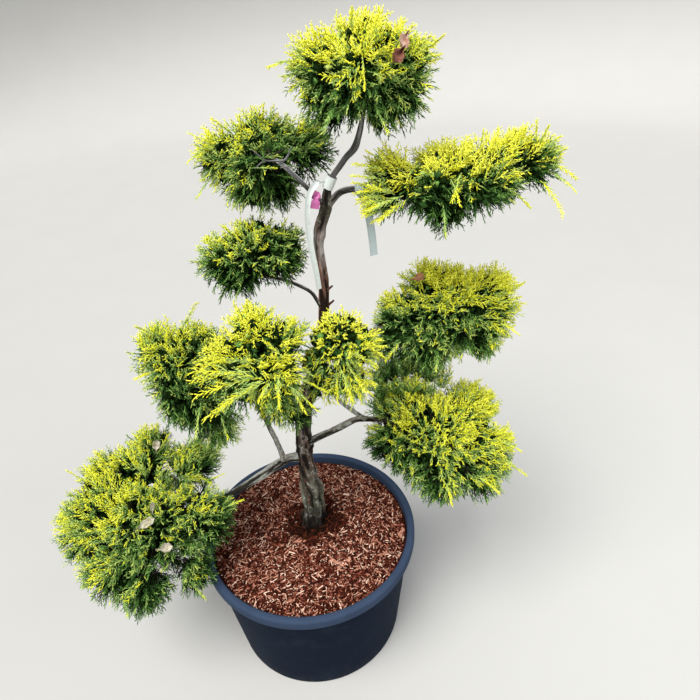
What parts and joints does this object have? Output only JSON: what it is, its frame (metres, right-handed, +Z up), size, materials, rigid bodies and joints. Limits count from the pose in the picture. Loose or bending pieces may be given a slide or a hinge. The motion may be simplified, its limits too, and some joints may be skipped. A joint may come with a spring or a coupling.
{
  "type": "cloud-pruned juniper in a pot",
  "caption": "Golden juniper with a leaning trunk, tapering boughs and clipped round masses of foliage, growing in a round nursery pot filled with bark mulch.",
  "frame": {"origin": "centre of the pot's flat underside, on the floor", "axes": "+Z up; -Y is the side seen from the front, with the longest bough to the left, at -X"},
  "size_m": [1.0309, 0.5, 1.3765],
  "materials": {
    "pot": "dark slate, satin",
    "mulch": "loose shredded bark",
    "bark": "rough bark with lichen",
    "foliage": "golden green scale leaves",
    "strap": "pale plastic strip",
    "ribbon": "pink plastic strip"
  },
  "bodies": {
    "root": {"pot": "pot", "mulch": "mulch", "trunk": "bark", "bough_low_left": "bark", "bough_low_right": "bark", "bough_front": "bark", "bough_front_left": "bark", "bough_front_right": "bark", "bough_mid_right": "bark", "bough_mid_left": "bark", "bough_top_left": "bark", "bough_top_right": "bark", "crown_top": "foliage", "pad_top_left": "foliage", "pad_top_right": "foliage", "pad_mid_left": "foliage", "pad_mid_right": "foliage", "pad_low_right": "foliage", "pad_front_left": "foliage", "pad_front": "foliage", "pad_front_right": "foliage", "pad_low_left": "foliage", "strap_long": "strap", "strap_short": "strap", "ribbon": "ribbon"}
  },
  "joints": []
}
